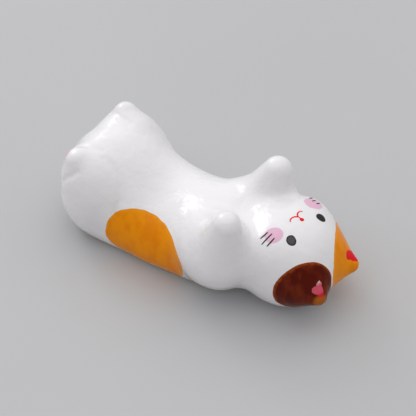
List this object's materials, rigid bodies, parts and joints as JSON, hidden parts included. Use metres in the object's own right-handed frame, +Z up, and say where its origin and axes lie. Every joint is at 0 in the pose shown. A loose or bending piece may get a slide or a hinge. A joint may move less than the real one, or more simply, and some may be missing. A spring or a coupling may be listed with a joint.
{
  "type": "chopstick rest",
  "caption": "Glazed ceramic chopstick rest in the form of a cat lying on its back, with a dip across the belly between the raised legs where the chopsticks lie.",
  "frame": {"origin": "on the table, under the middle of the rest's length, in the mid plane of the body", "axes": "+X from the rump to the head, along the rest's length; +Y towards the cat's right side, along which the chopsticks lie; +Z up from the table, towards the belly"},
  "size_m": [0.0602, 0.0272, 0.0223],
  "materials": {
    "white_glaze": "white body under a glossy clear glaze",
    "bare_clay": "unglazed, matt, slightly sandy",
    "orange_enamel": "glossy, brushed on, slightly uneven edge",
    "brown_enamel": "glossy, brushed on, paler at its edge",
    "blush_enamel": "glossy, soft pink",
    "ear_pink_enamel": "glossy, thin pink wash",
    "red_enamel": "glossy red",
    "ink_enamel": "glossy near-black"
  },
  "bodies": {
    "root": {"torso": "white_glaze", "head": "white_glaze", "left_ear": "white_glaze", "right_ear": "white_glaze", "left_foreleg": "white_glaze", "right_foreleg": "white_glaze", "left_hind_leg": "white_glaze", "right_hind_leg": "white_glaze", "bare_foot": "bare_clay", "flank_enamel": "orange_enamel", "orange_ear_enamel": "orange_enamel", "brown_head_enamel": "brown_enamel", "left_inner_ear": "ear_pink_enamel", "right_inner_ear": "red_enamel", "nose": "red_enamel", "philtrum": "red_enamel", "mouth": "red_enamel", "left_eye": "ink_enamel", "left_cheek": "blush_enamel", "left_paw_pad": "blush_enamel", "left_whisker_1": "ink_enamel", "left_whisker_2": "ink_enamel", "left_whisker_3": "ink_enamel", "right_eye": "ink_enamel", "right_cheek": "blush_enamel", "right_paw_pad": "blush_enamel", "right_whisker_1": "ink_enamel", "right_whisker_2": "ink_enamel", "right_whisker_3": "ink_enamel"}
  },
  "joints": []
}
